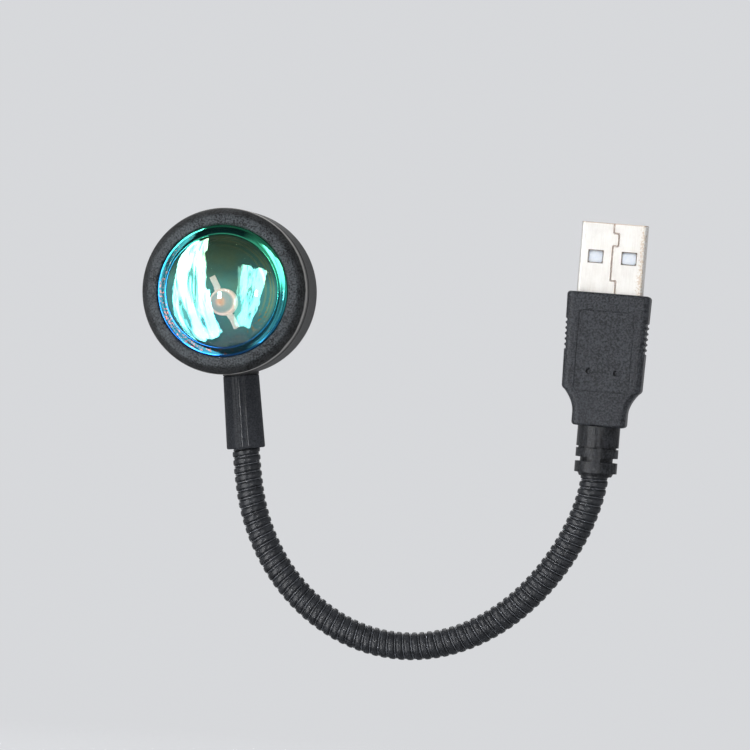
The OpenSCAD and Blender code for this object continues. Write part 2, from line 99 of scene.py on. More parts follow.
bpy.ops.object.camera_add()
camera = bpy.context.object
camera.name = "camera"
camera.data.lens = VIEW_LENS
camera.location = AIM + toward(VIEW_AZIMUTH, VIEW_ELEVATION) * VIEW_DISTANCE
camera.rotation_mode = "QUATERNION"
facing = (-toward(VIEW_AZIMUTH, VIEW_ELEVATION)).to_track_quat("-Z", "Y")
roll = Matrix.Rotation(math.radians(VIEW_ROLL), 3, "Z").to_quaternion()
camera.rotation_quaternion = facing @ roll
camera.data.clip_start = 0.01
bpy.context.scene.camera = camera
bpy.context.scene.view_settings.view_transform = "Standard"

# %% [markdown]
# A finish is a small network of nodes. Two small classes keep it readable. A
# Signal is one output of a node, and sums on signals add Math nodes. A Finish
# is one material, and its node method adds any other node: its settings come
# first, then the values or signals of its sockets.

# %% Tools for finishes
class Signal:
    def __init__(self, finish, socket):
        self.finish, self.socket = finish, socket

    def _sum(self, operation, a, b):
        return self.finish.node("Math", {"operation": operation}, {0: a, 1: b})

    def __add__(self, other):
        return self._sum("ADD", self, other)

    def __radd__(self, other):
        return self._sum("ADD", other, self)

    def __sub__(self, other):
        return self._sum("SUBTRACT", self, other)

    def __rsub__(self, other):
        return self._sum("SUBTRACT", other, self)

    def __mul__(self, other):
        return self._sum("MULTIPLY", self, other)

    def __rmul__(self, other):
        return self._sum("MULTIPLY", other, self)

    def __truediv__(self, other):
        return self._sum("DIVIDE", self, other)

    def __pow__(self, other):
        return self._sum("POWER", self, other)

    def size(self):
        """The number without its sign."""
        return self._sum("ABSOLUTE", self, 0)

    def at_least(self, other):
        return self._sum("MAXIMUM", self, other)

    def at_most(self, other):
        return self._sum("MINIMUM", self, other)

    def above(self, other):
        return self._sum("GREATER_THAN", self, other)


class Finish:
    def __init__(self, name):
        self.material = bpy.data.materials.new(name)
        self.material.use_nodes = True
        self.tree = self.material.node_tree
        self.tree.nodes.clear()
        self.coordinates = self.node("TexCoord", out="Object")

    def node(self, kind, settings=None, sockets=None, out=0):
        made = self.tree.nodes.new("ShaderNode" + kind)
        for key, value in (settings or {}).items():
            if key == "stops":
                ramp = made.color_ramp
                while len(ramp.elements) < len(value):
                    ramp.elements.new(0.5)
                for element, (place, colour) in zip(ramp.elements, value):
                    element.position, element.color = place, (*colour, 1)
            else:
                setattr(made, key, value)
        for key, value in (sockets or {}).items():
            if isinstance(value, Signal):
                self.tree.links.new(value.socket, made.inputs[key])
            else:
                made.inputs[key].default_value = value
        return Signal(self, made.outputs[out])

    def noise(self, per_mm, detail=2, roughness=0.5, stretch=None):
        """Noise whose lumps are 1 / per_mm millimetres across."""
        where = self.coordinates
        if stretch:
            where = self.node("Mapping", None, {"Vector": where, "Scale": stretch})
        return self.node("TexNoise", None, {"Vector": where, "Scale": per_mm / MM,
                         "Detail": detail, "Roughness": roughness}, out=0)

    def ramp(self, factor, stops):
        return self.node("ValToRGB", {"stops": stops}, {"Fac": factor})

    def blend(self, factor, first, second):
        return self.node("Mix", {"data_type": "RGBA"},
                         {0: factor, 6: first, 7: second}, out=2)

    def bump(self, height, strength, distance):
        return self.node("Bump", None, {"Height": height, "Strength": strength,
                         "Distance": distance * MM})

    def surface(self, **sockets):
        """The Principled shader, with spaces in the sockets' names as _."""
        return self.node("BsdfPrincipled", None,
                         {k.replace("_", " "): v for k, v in sockets.items()})

    def place(self, centre=(0, 0, 0)):
        """Where a point is from a centre, in millimetres, as three signals."""
        split = self.node("SeparateXYZ", None, {0: self.coordinates}).socket.node
        return [(Signal(self, split.outputs[i]) - centre[i] * MM) / MM for i in range(3)]

    def done(self, shader):
        end = self.tree.nodes.new("ShaderNodeOutputMaterial")
        self.tree.links.new(shader.socket, end.inputs[0])
        return self.material


def rgb(r, g, b):
    return (r, g, b, 1)

# %% [markdown]
# The lamp hangs in front of nothing, as in the photograph, over a round sheet
# of pale paper that fades out at its rim. Round it is one even pale studio. It
# is the world's colour wherever the camera, a glossy surface or glass looks,
# and it gets darker overhead. What lights the dull surfaces is a plain level
# of its own, so the ground can be pale without more light on the lamp.

# %% Floor and studio
bpy.ops.object.select_all(action="DESELECT")
FLOOR_Z = -0.16
bpy.ops.mesh.primitive_circle_add(vertices=96, radius=0.66, fill_type="NGON",
                                  location=(AIM.x, 0, FLOOR_Z))
floor = bpy.context.object
floor.name = "floor"
paper = Finish("pale_paper")
speck = paper.noise(0.8, 3)
tone = paper.ramp(speck, [(0.3, (0.8, 0.81, 0.83)), (0.7, (0.83, 0.84, 0.86))])
from_middle = paper.node("VectorMath", {"operation": "LENGTH"},
                         {0: paper.coordinates}, out="Value")
fade = paper.ramp(from_middle, [(0.3, (0, 0, 0)), (0.64, (1, 1, 1))])
floor.data.materials.append(paper.done(paper.node("MixShader", None, {
    0: fade, 1: paper.surface(Base_Color=tone, Roughness=0.9),
    2: paper.node("BsdfTransparent", None, {"Color": rgb(1, 1, 1)})})))
floor.visible_glossy = False

world = bpy.data.worlds.new("studio")
bpy.context.scene.world = world
world.use_nodes = True
studio = Finish.__new__(Finish)
studio.tree = world.node_tree
studio.tree.nodes.clear()
look_up = studio.node("SeparateXYZ", None, {0: studio.node("TexCoord")}, out="Z")
ground = studio.ramp(look_up * 0.5 + 0.5, [
    (0.1, (0.2, 0.21, 0.22)), (0.24, (0.5, 0.51, 0.52)), (0.42, (0.68, 0.69, 0.71)),
    (0.56, (0.68, 0.69, 0.71)), (0.66, (0.3, 0.31, 0.32)), (0.85, (0.1, 0.1, 0.1))])
seen = studio.node("LightPath", out="Is Camera Ray")
glossy = studio.node("LightPath", out="Is Glossy Ray")
through = studio.node("LightPath", out="Is Transmission Ray")
shown = studio.node("Background", None, {"Color": ground, "Strength": 1.0})
level = studio.node("Background", None, {"Color": rgb(0.56, 0.57, 0.58)})
end = studio.tree.nodes.new("ShaderNodeOutputWorld")
mixed = studio.node("MixShader", None, {0: seen + glossy + through, 1: level, 2: shown})
studio.tree.links.new(mixed.socket, end.inputs[0])

# %% [markdown]
# Two soft boxes light the lamp, one in front and one behind it. The bright
# shapes in the glass are two tall windows, left and right of the camera, with
# folds of thin cloth before them. Two small, very bright strips beside them give
# the two thin lines on the sleeve, and a small spot each in the glass. These
# panels only show in what is glossy: they add no light, so a dull colour still
# looks as it is written.

# %% Lights and window panels
def face_lamp(azimuth, elevation, turn):
    """The turn of something that looks at the lamp from a direction."""
    spin = Matrix.Rotation(math.radians(turn), 3, "Z").to_quaternion()
    return (-toward(azimuth, elevation)).to_track_quat("-Z", "Y") @ spin


def soft_box(name, azimuth, elevation, distance, width, height, watts):
    bpy.ops.object.light_add(type="AREA")
    lamp = bpy.context.object
    lamp.name = name
    lamp.data.shape = "RECTANGLE"
    lamp.data.size, lamp.data.size_y = width, height
    lamp.data.energy = watts
    lamp.location = AIM + toward(azimuth, elevation) * distance
    lamp.rotation_mode = "QUATERNION"
    lamp.rotation_quaternion = face_lamp(azimuth, elevation, 0)
    lamp.visible_camera = False
    return lamp


def window(name, azimuth, elevation, distance, width, height, turn, dim, bright,
           folds=3.0, upper=1.0, lower=1.0, lean=0.0, ragged=0.0, soft=0.03):
    """A panel of light behind thin folded cloth, seen in glossy surfaces only."""
    bpy.ops.object.select_all(action="DESELECT")
    bpy.ops.mesh.primitive_plane_add(size=1)
    panel = bpy.context.object
    panel.name = name
    for corner in panel.data.vertices:
        corner.co.x *= upper if corner.co.y > 0 else lower
    panel.scale = (width, height, 1)
    panel.location = AIM + toward(azimuth, elevation) * distance
    panel.rotation_mode = "QUATERNION"
    panel.rotation_quaternion = face_lamp(azimuth, elevation, turn)
    cloth = Finish(name + "_cloth")
    waves = []
    for tilt, across, along in ((0.0, folds, 0.9), (0.7, folds * 0.5, 0.7)):
        where = cloth.node("Mapping", None, {"Vector": cloth.coordinates,
                           "Rotation": (0, 0, tilt), "Scale": (across, along, 1)})
        waves.append(cloth.node("TexNoise", None, {"Vector": where, "Scale": 3.0,
                     "Detail": 3, "Roughness": 0.6, "Distortion": 0.8}))
    split = cloth.node("SeparateXYZ", None, {0: cloth.coordinates}).socket.node
    sideways, rising = (Signal(cloth, split.outputs[i]) for i in (0, 1))
    glow = cloth.ramp(waves[0] * 0.6 + waves[1] * 0.4 + sideways * lean,
                      [(0.42, (dim,) * 3), (0.52, (bright,) * 3)])
    half_width = (rising + 0.5) * (upper - lower) * 0.5 + lower * 0.5
    inside = (half_width - sideways.size()).at_most(0.5 - rising.size())
    shows = cloth.ramp(inside + (waves[1] - 0.5) * ragged,
                       [(0.0, (0, 0, 0)), (soft, (1, 1, 1))])
    panel.data.materials.append(cloth.done(cloth.node("MixShader", None, {
        0: shows, 1: cloth.node("BsdfTransparent", None, {"Color": rgb(1, 1, 1)}),
        2: cloth.node("Emission", None, {"Color": glow, "Strength": 1.0})})))
    panel.data.materials[0].cycles.emission_sampling = "NONE"
    panel.visible_camera = panel.visible_diffuse = panel.visible_shadow = False
    return panel


soft_box("front_box", -15, 48, 0.8, 0.55, 0.55, 3.4).visible_glossy = False
soft_box("back_box", 195, 40, 0.8, 0.6, 0.5, 2.2)
window("window_left", -41, 0, 0.5, 0.5, 1.04, 10, 1.6, 13, 3.0, upper=0.42, lean=0.1,
       ragged=0.5)
window("window_right", 14, -2, 0.5, 0.3, 0.56, -6, 1.6, 6.5, 2.4, lower=0.5, lean=0.3,
       ragged=0.4)
window("slit_left", -12.5, -1.9, 0.47, 0.026, 0.05, 3, 110, 110, soft=0.2)
window("slit_right", 21.5, 2.4, 0.47, 0.024, 0.05, 0, 70, 70, soft=0.2)

# %% [markdown]
# Blender's tools have tolerances that suit furniture. This lamp's ribs are
# half a millimetre high, so every piece is drawn with a millimetre as the
# unit, in the lamp's own frame, and shrunk a thousand times at the end. The
# helpers below do the steps that come back for each piece.

# %% Tools for shaping
def draw(name, start, **place):
    """Adds a primitive with nothing else selected, and opens it for editing."""
    if bpy.context.object and bpy.context.object.mode != "OBJECT":
        bpy.ops.object.mode_set(mode="OBJECT")
    bpy.ops.object.select_all(action="DESELECT")
    start(**place)
    piece = bpy.context.object
    piece.name = piece.data.name = name
    bpy.ops.object.mode_set(mode="EDIT")
    bpy.ops.mesh.select_mode(type="VERT")
    return piece


def pick(kind, test):
    """Selects the vertices, edges or faces whose middle passes the test."""
    bpy.ops.mesh.select_mode(type=kind)
    bpy.ops.mesh.select_all(action="DESELECT")
    mesh = bmesh.from_edit_mesh(bpy.context.object.data)
    for part in {"VERT": mesh.verts, "EDGE": mesh.edges, "FACE": mesh.faces}[kind]:
        corners = [part.co] if kind == "VERT" else [v.co for v in part.verts]
        if test(sum(corners, Vector()) / len(corners), corners):
            part.select_set(True)
    mesh.select_flush_mode()
    bmesh.update_edit_mesh(bpy.context.object.data)


def trace(name, points):
    """A line of edges through the points, drawn by extruding one vertex."""
    piece = draw(name, bpy.ops.mesh.primitive_plane_add, size=1, location=(0, 0, 0))
    bpy.ops.mesh.select_all(action="SELECT")
    bpy.ops.mesh.merge(type="CENTER")
    bpy.ops.transform.translate(value=points[0])
    for a, b in zip(points, points[1:]):
        bpy.ops.mesh.extrude_region_move(
            TRANSFORM_OT_translate={"value": Vector(b) - Vector(a)})
    return piece


def turned(name, points, centre, axis, steps=96):
    """A round piece: the traced line is spun all the way about the axis."""
    piece = trace(name, points)
    bpy.ops.mesh.select_all(action="SELECT")
    bpy.ops.mesh.spin(steps=steps, angle=math.tau, center=centre, axis=axis)
    close_up()
    return piece


def close_up():
    """Merges what lies on itself and turns every face outwards."""
    bpy.ops.mesh.select_all(action="SELECT")
    bpy.ops.mesh.remove_doubles(threshold=0.001)
    bpy.ops.mesh.normals_make_consistent(inside=False)


def modify(piece, kind, **settings):
    """Adds a modifier to a finished outline and applies it."""
    if bpy.context.object.mode != "OBJECT":
        bpy.ops.object.mode_set(mode="OBJECT")
    bpy.ops.object.select_all(action="DESELECT")
    piece.select_set(True)
    bpy.context.view_layer.objects.active = piece
    made = piece.modifiers.new(kind.lower(), kind)
    for key, value in settings.items():
        setattr(made, key, value)
    bpy.ops.object.modifier_apply(modifier=made.name)


def cut(piece, *cutters, operation="DIFFERENCE"):
    """Cuts other pieces out of a piece, or adds them to it, and drops them."""
    for cutter in cutters:
        modify(piece, "BOOLEAN", object=cutter, operation=operation, solver="EXACT")
        bpy.data.objects.remove(cutter)


def stop_edit():
    if bpy.context.object.mode != "OBJECT":
        bpy.ops.object.mode_set(mode="OBJECT")
    return bpy.context.object


def settle(piece, smooth=40, flat=True):
    """Smooths a drawn piece, then shrinks it from millimetres to its real size."""
    stop_edit()
    bpy.ops.object.select_all(action="DESELECT")
    piece.select_set(True)
    bpy.context.view_layer.objects.active = piece
    bpy.ops.object.transform_apply(location=True, rotation=True, scale=True)
    bpy.ops.object.shade_smooth_by_angle(angle=math.radians(smooth))
    if flat:
        modify(piece, "WEIGHTED_NORMAL", keep_sharp=True)
    piece.matrix_world = Matrix.Scale(MM, 4)
    bpy.ops.object.transform_apply(location=True, rotation=True, scale=True)
    return piece


def dress(piece, material, body, slot, *stands_for):
    """Gives a settled piece its finish, its body and the nodes it stands for."""
    if material:
        piece.data.materials.clear()
        piece.data.materials.append(material)
    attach(piece, body)
    if stands_for:
        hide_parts(*stands_for)
    print(piece.name, "faces:", len(piece.data.polygons))

# %% [markdown]
# ## Black mouldings
# The plug's body, the bezel and the sleeve are all black, but not one black.
# The body has the fine grain of a sparked mould, the bezel is duller, and the
# sleeve and the relief are smoother. Each gets its own colour drift, a
# roughness that changes a little from place to place, and a bump.

# %% Finishes of the black mouldings
def moulding(name, dark, light, rough, shine, grain_mm, grain_deep, grain=0.55,
             coat=0.0, coat_rough=0.15, lumps=0.5):
    """A black plastic: dark and light are grey levels, a little on the blue side."""
    look = Finish(name)
    cloud = look.noise(lumps, 4, 0.65)
    fine = look.noise(1 / grain_mm, 2, 0.6)
    tone = look.ramp(cloud * (1 - grain) + fine * grain,
                     [(0.41, (dark, dark * 1.06, dark * 1.2)),
                      (0.6, (light, light * 1.06, light * 1.2))])
    return look.done(look.surface(
        Base_Color=tone, Specular_IOR_Level=shine,
        Roughness=(cloud - 0.5) * 0.3 + (fine - 0.5) * 0.25 + rough,
        Coat_Weight=coat, Coat_Roughness=coat_rough,
        Normal=look.bump(fine + cloud * 0.5, 0.8, grain_deep)))


plug_black = moulding("plug_black", 0.012, 0.056, 0.5, 0.14, 0.36, 0.05, 0.78)
relief_black = moulding("relief_black", 0.006, 0.03, 0.4, 0.14, 0.36, 0.03, 0.75)
sleeve_black = moulding("sleeve_black", 0.03, 0.05, 0.5, 0.01, 0.3, 0.006, 0.8,
                        coat=0.05, coat_rough=0.04)
hose_black = moulding("hose_black", 0.02, 0.034, 0.4, 0.1, 0.5, 0.003, 0.4,
                      coat=0.12, coat_rough=0.1)
# The thin ridge's finish: its paler colour is a painted highlight, and it is glossier.
hose_ridge_painted_highlight = moulding("hose_ridge_painted_highlight", 0.04, 0.105, 0.35, 0.3, 0.5, 0.003, 0.4,
                     coat=0.2, coat_rough=0.2)

# %% [markdown]
# ## The gooseneck hose
# The real hose is wound: one wide round rib runs round it like a thread, and
# a thin ridge lies in the groove between two turns. It could be a displaced
# tube, but then the thin ridge would be lost. So one turn's outline is traced
# and the Screw modifier winds it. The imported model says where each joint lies;
# the hose's middle line runs through the joints in smooth arcs.

# %% Middle line of the hose
joints = frame["joints"]
spots = [Vector(j["pos_m"]) / MM for j in joints]
corners = [spot for spot, j in zip(spots, joints) if j["name"].startswith("bend")]
HEAD = Vector(next(m for m in frame["record"]["mounts"]
                   if m["name"] == "head_back")["pos_m"]) / MM
HEAD.y = 0
SLEEVE_LENGTH, HEAD_RADIUS, SEAT_GAPS = 13.6, 15.22, 0.1
HOSE_IN_RELIEF, HOSE_IN_SLEEVE = 5, 6
neck_way = (HEAD - corners[-1]).normalized()
NECK = HEAD - neck_way * (SLEEVE_LENGTH + HEAD_RADIUS + SEAT_GAPS)
HOSE_START = Vector((0, 0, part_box("strain_relief")[0].z / MM + HOSE_IN_RELIEF))
HOSE_END = NECK + neck_way * HOSE_IN_SLEEVE
lean = math.degrees(math.acos(neck_way.z))
print("the hose leans", round(lean, 1), "degrees at the head")


def smooth_line(points, step):
    """Points along straight runs whose corners are rounded by arcs."""
    line, runs = [points[0]], len(points) - 1
    for i in range(1, runs):
        a, b, c = points[i - 1], points[i], points[i + 1]
        reach = min((b - a).length, (c - b).length) / 2
        enter = b + (a - b).normalized() * reach
        leave = b + (c - b).normalized() * reach
        for k in range(0, 13):
            t = k / 12
            line.append(enter.lerp(b, t).lerp(b.lerp(leave, t), t))
    line.append(points[-1])
    even, left = [line[0]], step
    for a, b in zip(line, line[1:]):
        length = (b - a).length
        done = 0
        while length - done >= left:
            done += left
            even.append(a.lerp(b, done / length))
            left = step
        left -= length - done
    return even + [line[-1]]


STEP = 0.25
middle = smooth_line([HOSE_START, *corners, HOSE_END], STEP)
print("hose's middle line:", len(middle), "points,", round(len(middle) * STEP, 1), "mm")


def place_along(spot):
    """How far along the middle line the nearest point to a spot is."""
    return min(range(len(middle)), key=lambda i: (middle[i] - spot).length) * STEP


stop_edit()
bpy.ops.object.select_all(action="DESELECT")
line_data = bpy.data.curves.new("hose_line", "CURVE")
line_data.dimensions = "3D"
spline = line_data.splines.new("POLY")
spline.points.add(len(middle) - 1)
for point, spot in zip(spline.points, middle):
    point.co = (*spot, 1)
line_data.use_deform_bounds = False
hose_line = bpy.data.objects.new("hose_line", line_data)
bpy.context.scene.collection.objects.link(hose_line)

# %% [markdown]
# One turn of the winding is 1.525 mm long. Its outline goes from the thin
# ridge in the groove, down beside it, and over the wide crest to the next
# ridge. A second line, the bore, winds with it, so that the hose is hollow. The
# thin ridge's faces take a paler, glossier finish. Its paler colour is a
# painted highlight.

# %% One turn, wound
PITCH = 1.525
OUTLINE = [(0, 2.4), (0.06, 2.385), (0.11, 2.29), (0.15, 2.2), (0.195, 2.2),
           (0.235, 2.3), (0.275, 2.42), (0.33, 2.49), (0.41, 2.53), (0.52, 2.555),
           (0.64, 2.567), (0.7625, 2.57)]
OUTLINE = OUTLINE + [(PITCH - s, r) for s, r in reversed(OUTLINE[:-1])]
TURNS, TURN_STEPS = 9, 56
BORE_RADIUS = 1.5
RIDGE_HALF_WIDTH = 0.09


def wound(name, outline):
    piece = trace(name, [(r, 0, s) for s, r in outline])
    modify(piece, "SCREW", axis="Z", screw_offset=PITCH, iterations=TURNS,
           steps=TURN_STEPS, render_steps=TURN_STEPS, use_merge_vertices=True,
           merge_threshold=0.0005)
    return piece


winding = wound("hose_winding", OUTLINE)
bore = wound("hose_bore", [(0, BORE_RADIUS), (PITCH, BORE_RADIUS)])
bpy.ops.object.select_all(action="DESELECT")
bore.select_set(True)
winding.select_set(True)
bpy.context.view_layer.objects.active = winding
bpy.ops.object.join()
bpy.ops.object.mode_set(mode="EDIT")
bpy.ops.mesh.select_all(action="SELECT")
bpy.ops.mesh.remove_doubles(threshold=0.001)
stop_edit()
print("winding's faces:", len(winding.data.polygons))
for finish in (hose_black, hose_ridge_painted_highlight):
    winding.data.materials.append(finish)
# The thin ridge's faces take the finish with the painted highlight.
painted_highlight_faces = 0
for face in winding.data.polygons:
    x, y, z = face.center
    beside = (z - math.atan2(y, x) / math.tau * PITCH + PITCH / 2) % PITCH - PITCH / 2
    if abs(beside) < RIDGE_HALF_WIDTH and math.hypot(x, y) > BORE_RADIUS + 0.5:
        face.material_index = 1
        painted_highlight_faces += 1
print("faces on the worn ridge:", painted_highlight_faces)

# %% [markdown]
# A bend moves the hose at its joints only, so the skin is made in one piece for
# each joint. Each piece runs from halfway to the joint before it to halfway to
# the next. The winding is copied, slid by whole turns so that the thread runs
# on, cut square at both ends while it is straight, and bent along the middle
# line. The imported hinges have axes a hair off Y.

# %% The skin of the hose, piece by piece
along = [place_along(spot) for spot in spots]
FIRST_CUT, LAST_CUT, INSIDE_CUT = 0.4, len(middle) * STEP - 0.6, 0.3
cuts = [FIRST_CUT] + [(a + b) / 2 for a, b in zip(along, along[1:])] + [LAST_CUT]
hose_nodes = {}
for body, members in frame["record"]["behaviour"]["bodies"].items():
    for member in members:
        if member.startswith("hose_"):
            hose_nodes[body] = member

for i, joint in enumerate(joints):
    start, end = cuts[i], cuts[i + 1]
    piece = winding.copy()
    piece.data = winding.data.copy()
    piece.name = piece.data.name = "hose_skin_%02d" % (i + 1)
    bpy.context.scene.collection.objects.link(piece)
    bpy.context.view_layer.objects.active = piece
    bpy.ops.object.select_all(action="DESELECT")
    piece.select_set(True)
    piece.location.z = (math.floor(start / PITCH) - 1) * PITCH
    bpy.ops.object.transform_apply(location=True)
    bpy.ops.object.mode_set(mode="EDIT")
    for place, lower in ((start, True), (end, False)):
        bpy.ops.mesh.select_all(action="SELECT")
        bpy.ops.mesh.bisect(plane_co=(0, 0, place), plane_no=(0, 0, 1), use_fill=True,
                            clear_inner=lower, clear_outer=not lower, threshold=1e-5)
    close_up()
    modify(piece, "CURVE", object=hose_line, deform_axis="POS_Z")
    settle(piece, 62, flat=False)
    near = middle[round((start + INSIDE_CUT) / STEP)]
    far = middle[round((end - INSIDE_CUT) / STEP)]
    near * MM
    far * MM
    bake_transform(piece)
    if i == 0:
        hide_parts(hose_nodes[joint["parent"]])
    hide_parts(hose_nodes[joint["child"]])
bpy.data.objects.remove(winding)
bpy.data.objects.remove(hose_line)
print("hose pieces:", len(joints))

# %% [markdown]
# ## The plug's body
# A flat block with round long edges, narrowing at its shoulders to a foot. It
# is a cube cut at a few heights, whose levels are then drawn in. A bare
# sunken panel, two dimples, the grip grooves, the shell's pocket and the
# relief's seat are cut from it.

# %% Block of the plug's body
WIDE, LOW, FOOT, THICK = 15.2, 14.5, 9.9, 8.0
SHOULDER_Z, SHOULDER, END_Z = -17.5, 4.4, -24.3
levels = [(-17.3, LOW), (-17.65, LOW - 0.35)]
for i in range(1, 9):
    t = i / 8
    levels.append((SHOULDER_Z - SHOULDER * t,
                   FOOT + (LOW - 0.3 - FOOT) * (1 - t) ** 1.9))
block = draw("plug_body", bpy.ops.mesh.primitive_cube_add, size=1,
             location=(0, 0, -12.15), scale=(WIDE, THICK, 24.3))
stop_edit()
bpy.ops.object.transform_apply(location=True, rotation=True, scale=True)
bpy.ops.object.mode_set(mode="EDIT")
for z, width in levels:
    bpy.ops.mesh.select_all(action="SELECT")
    bpy.ops.mesh.bisect(plane_co=(0, 0, z), plane_no=(0, 0, 1))
for z, width in levels + [(END_Z, FOOT)]:
    pick("VERT", lambda m, c, z=z: abs(m.z - z) < 0.01)
    bpy.ops.transform.resize(value=(width / WIDE, 1, 1), center_override=(0, 0, z))
pick("EDGE", lambda m, c: (abs(abs(m.y) - THICK / 2) < 0.01
                           and abs(c[0].z - c[1].z) > 0.05))
bpy.ops.mesh.bevel(offset=1.3, segments=6, affect="EDGES")
for z in (0, END_Z):
    pick("EDGE", lambda m, c, z=z: all(abs(v.z - z) < 0.01 for v in c))
    bpy.ops.mesh.bevel(offset=0.6, segments=4, affect="EDGES")
stop_edit()
print("block's faces:", len(block.data.polygons))

# %% Cutters for the plug's body
def box_cutter(name, low, high, round_off=0.0, edge_axis=1):
    size = Vector(high) - Vector(low)
    cutter = draw(name, bpy.ops.mesh.primitive_cube_add, size=1,
                  location=(Vector(low) + Vector(high)) / 2, scale=size)
    stop_edit()
    bpy.ops.object.transform_apply(location=True, rotation=True, scale=True)
    if round_off:
        bpy.ops.object.mode_set(mode="EDIT")
        pick("EDGE", lambda m, c: abs(c[0][edge_axis] - c[1][edge_axis]) > 0.05)
        bpy.ops.mesh.bevel(offset=round_off, segments=6, affect="EDGES")
        stop_edit()
    return cutter


def rod_cutter(name, radius, start, end, sides=32):
    start, end = Vector(start), Vector(end)
    draw(name, bpy.ops.mesh.primitive_cylinder_add, radius=radius, vertices=sides,
         depth=(end - start).length, location=(start + end) / 2,
         rotation=(end - start).to_track_quat("Z", "Y").to_euler())
    cutter = stop_edit()
    bpy.ops.object.transform_apply(location=True, rotation=True, scale=True)
    return cutter


PANEL_LOW, PANEL_HIGH, PANEL_SIDE = -18.0, -3.2, 5.1
cut(block, box_cutter("panel", (-PANEL_SIDE, -5, PANEL_LOW),
                      (PANEL_SIDE, -3.86, PANEL_HIGH), 0.8))
LINE = 0.15
groove = box_cutter("groove", (-PANEL_SIDE, -5, PANEL_LOW),
                    (PANEL_SIDE, -3.74, PANEL_HIGH), 0.8)
cut(groove, box_cutter("middle", (LINE - PANEL_SIDE, -6, PANEL_LOW + LINE),
                       (PANEL_SIDE - LINE, -3, PANEL_HIGH - LINE), 0.7))
cut(block, groove)
cut(block, box_cutter("pocket", (-6.05, -2.3, -6.1), (6.05, 2.3, 1), 0.66, 2))
cut(block, rod_cutter("seat", 3.3, (0, 0, -21.2), (0, 0, -25), 48))
DIMPLE_X, DIMPLE_Z, GRIPS, FIRST_GRIP = 2.5, -14.4, 6, -5.3
for side in (-1, 1):
    x, pin_x = side * DIMPLE_X, side * DIMPLE_X + 0.22
    dimple = rod_cutter("dimple", 0.55, (x, -3.0, DIMPLE_Z), (x, -5, DIMPLE_Z))
    cut(dimple, rod_cutter("pin", 0.38, (pin_x, -2.9, DIMPLE_Z), (pin_x, -3.72, DIMPLE_Z)))
    cut(block, dimple)
    for i in range(GRIPS):
        z = FIRST_GRIP - i
        x = side * (WIDE / 2 - z * (WIDE - LOW) / 2 / SHOULDER_Z)
        cut(block, rod_cutter("grip", 0.34, (x, 5, z), (x, -5, z), 20))
modify(block, "BEVEL", width=0.05, segments=2, limit_method="ANGLE",
       angle_limit=math.radians(40))
settle(block, 35)
dress(block, plug_black, "plug", "plug_black", "overmould")

# %% [markdown]
# ## The plug's metal shell
# A folded tube of thin plated steel, with two latch windows through its front
# and its back. Its seam runs down the front in steps, like a dovetail. The
# tube is a hollow box with round long edges. The finish knows where the seam
# and the windows lie: a thin dark line of painted shade frames each window,
# the plate is darker at its top cut edge, tan along the seam, and worn in a
# speckled band beside the right bend.

# %% Metal shell
TOP, BOTTOM, WINDOW_X, WINDOW_Z = 12.8, -6.0, 3.05, 6.59
shell = box_cutter("shell_tube", (-6, -2.25, BOTTOM), (6, 2.25, TOP), 0.64, 2)
cut(shell, box_cutter("hollow", (-5.7, -1.95, BOTTOM - 1), (5.7, 1.95, TOP + 1), 0.34, 2))
for side in (-1, 1):
    x = side * WINDOW_X
    cut(shell, box_cutter("window", (x - 1.25, -3, WINDOW_Z - 1.05),
                          (x + 1.25, 3, WINDOW_Z + 1.05), 0.36, 1))
SEAM_LEFT, SEAM_RIGHT, STEPS = -0.05, 0.95, (11.0, 8.7, 2.35)
for x, low, high in ((SEAM_LEFT, STEPS[0], TOP + 1), (SEAM_RIGHT, STEPS[1], STEPS[0]),
                     (SEAM_LEFT, STEPS[2], STEPS[1]), (SEAM_RIGHT, BOTTOM - 1, STEPS[2])):
    cut(shell, box_cutter("seam", (x - 0.05, -3, low - 0.05),
                          (x + 0.05, -1.5, high + 0.05)))
for z in STEPS:
    cut(shell, box_cutter("step", (SEAM_LEFT - 0.05, -3, z - 0.05),
                          (SEAM_RIGHT + 0.05, -1.5, z + 0.05)))
modify(shell, "BEVEL", width=0.04, segments=2, limit_method="ANGLE",
       angle_limit=math.radians(40))
settle(shell, 35)

plate = Finish("shell_metal")
x, y, z = plate.place()
lines = plate.noise(6, 3, 0.6, (1, 1, 0.08))
cloud = plate.noise(0.35, 3, 0.6)
specks = plate.noise(2.6, 2, 0.7)
clean = plate.ramp(lines * 0.5 + cloud * 0.5, [(0.35, (0.54, 0.52, 0.49)),
                                               (0.6, (0.62, 0.61, 0.585))])
swap = z.above(STEPS[0]) + z.above(STEPS[2]) * (1 - z.above(STEPS[1]))
seam_x = SEAM_RIGHT - swap * (SEAM_RIGHT - SEAM_LEFT)
near_seam = (x - seam_x).size()
middle_x = (SEAM_LEFT + SEAM_RIGHT) / 2
beside = ((x - middle_x).size() - 0.55).at_least(0) * 9
for step in STEPS:
    near_seam = near_seam.at_most((z - step).size() + beside)
near_seam = near_seam + y.above(-2.0) * 9
seam_line = plate.ramp(near_seam + (specks - 0.5) * 0.12,
                       [(0.09, (1, 1, 1)), (0.16, (0, 0, 0))])
# Painted shade: a thin dark line round each window, from the distance to its edge.
to_window = ((x.size() - WINDOW_X).size() - 1.25).at_least((z - WINDOW_Z).size() - 1.05)
window_shade_line = plate.ramp(to_window, [(0.12, (1, 1, 1)), (0.2, (0, 0, 0))])
worn = plate.ramp((x - 5.4).size() * 0.25 + specks, [(0.52, (1, 1, 1)), (0.57, (0, 0, 0))])
tone = plate.blend(worn * 0.6, clean, rgb(0.38, 0.26, 0.15))
tone = plate.blend(seam_line, tone, rgb(0.2, 0.1, 0.045))
tone = plate.blend(window_shade_line, tone, rgb(0.07, 0.055, 0.045))
cut_edge = plate.ramp((z - 12.62) * 3, [(0.0, (0, 0, 0)), (0.3, (1, 1, 1))])
tone = plate.blend(cut_edge * 0.8, tone, rgb(0.3, 0.19, 0.11))
